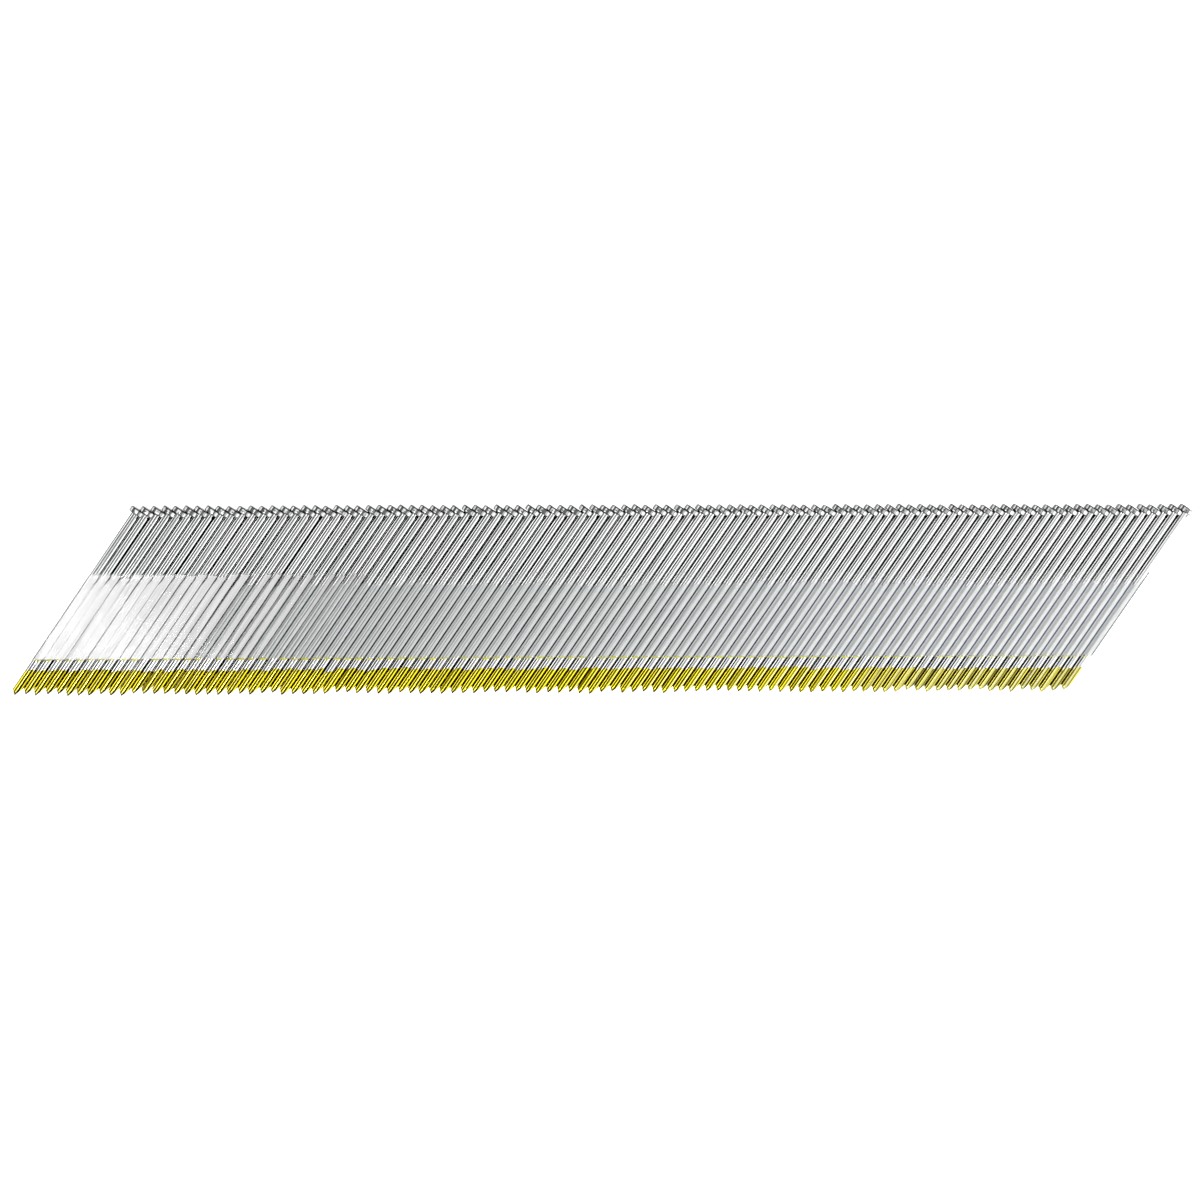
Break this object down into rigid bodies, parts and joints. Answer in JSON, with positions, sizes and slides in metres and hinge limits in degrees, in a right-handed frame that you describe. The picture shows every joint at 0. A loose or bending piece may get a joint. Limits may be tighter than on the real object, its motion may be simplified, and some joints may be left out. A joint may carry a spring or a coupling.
{
  "type": "collated nail stick",
  "caption": "Straight stick of angled steel finish nails, bonded flank to flank, with clear collating film and coated points.",
  "frame": {"origin": "middle of the bottom of the bounding box, with the stick lying flat on its rear face", "axes": "+X along the stick in the direction the heads lean, +Y from the points toward the heads, +Z out of the front face"},
  "size_m": [0.2358, 0.0378, 0.003],
  "materials": {
    "zinc_wire": "bright drawn wire with a thin electro-zinc layer, satin with fine lengthwise drawing lines",
    "lacquer": "clear dried lacquer, slightly milky where it is thick in the grooves",
    "clear_film": "clear glossy film with small bubbles and a yellowed lower edge",
    "tip_coating": "translucent yellow dipped coating, glossy, darker in the grooves"
  },
  "bodies": {
    "root": {"nail_pair_01": "zinc_wire", "nail_pair_02": "zinc_wire", "nail_pair_03": "zinc_wire", "nail_pair_04": "zinc_wire", "nail_pair_05": "zinc_wire", "nail_pair_06": "zinc_wire", "nail_pair_07": "zinc_wire", "nail_pair_08": "zinc_wire", "nail_pair_09": "zinc_wire", "nail_pair_10": "zinc_wire", "nail_pair_11": "zinc_wire", "nail_pair_12": "zinc_wire", "nail_pair_13": "zinc_wire", "nail_pair_14": "zinc_wire", "nail_pair_15": "zinc_wire", "nail_pair_16": "zinc_wire", "nail_pair_17": "zinc_wire", "nail_pair_18": "zinc_wire", "nail_pair_19": "zinc_wire", "nail_pair_20": "zinc_wire", "nail_pair_21": "zinc_wire", "nail_pair_22": "zinc_wire", "nail_pair_23": "zinc_wire", "nail_pair_24": "zinc_wire", "nail_pair_25": "zinc_wire", "nail_pair_26": "zinc_wire", "nail_pair_27": "zinc_wire", "nail_pair_28": "zinc_wire", "nail_pair_29": "zinc_wire", "nail_pair_30": "zinc_wire", "nail_pair_31": "zinc_wire", "nail_pair_32": "zinc_wire", "nail_pair_33": "zinc_wire", "nail_pair_34": "zinc_wire", "nail_pair_35": "zinc_wire", "nail_pair_36": "zinc_wire", "nail_pair_37": "zinc_wire", "nail_pair_38": "zinc_wire", "nail_pair_39": "zinc_wire", "nail_pair_40": "zinc_wire", "nail_pair_41": "zinc_wire", "nail_pair_42": "zinc_wire", "nail_pair_43": "zinc_wire", "nail_pair_44": "zinc_wire", "nail_pair_45": "zinc_wire", "nail_pair_46": "zinc_wire", "nail_pair_47": "zinc_wire", "nail_pair_48": "zinc_wire", "nail_pair_49": "zinc_wire", "nail_pair_50": "zinc_wire", "front_adhesive": "lacquer", "rear_adhesive": "lacquer", "front_film": "clear_film", "rear_film": "clear_film", "front_tip_coating": "tip_coating", "rear_tip_coating": "tip_coating"}
  },
  "joints": []
}
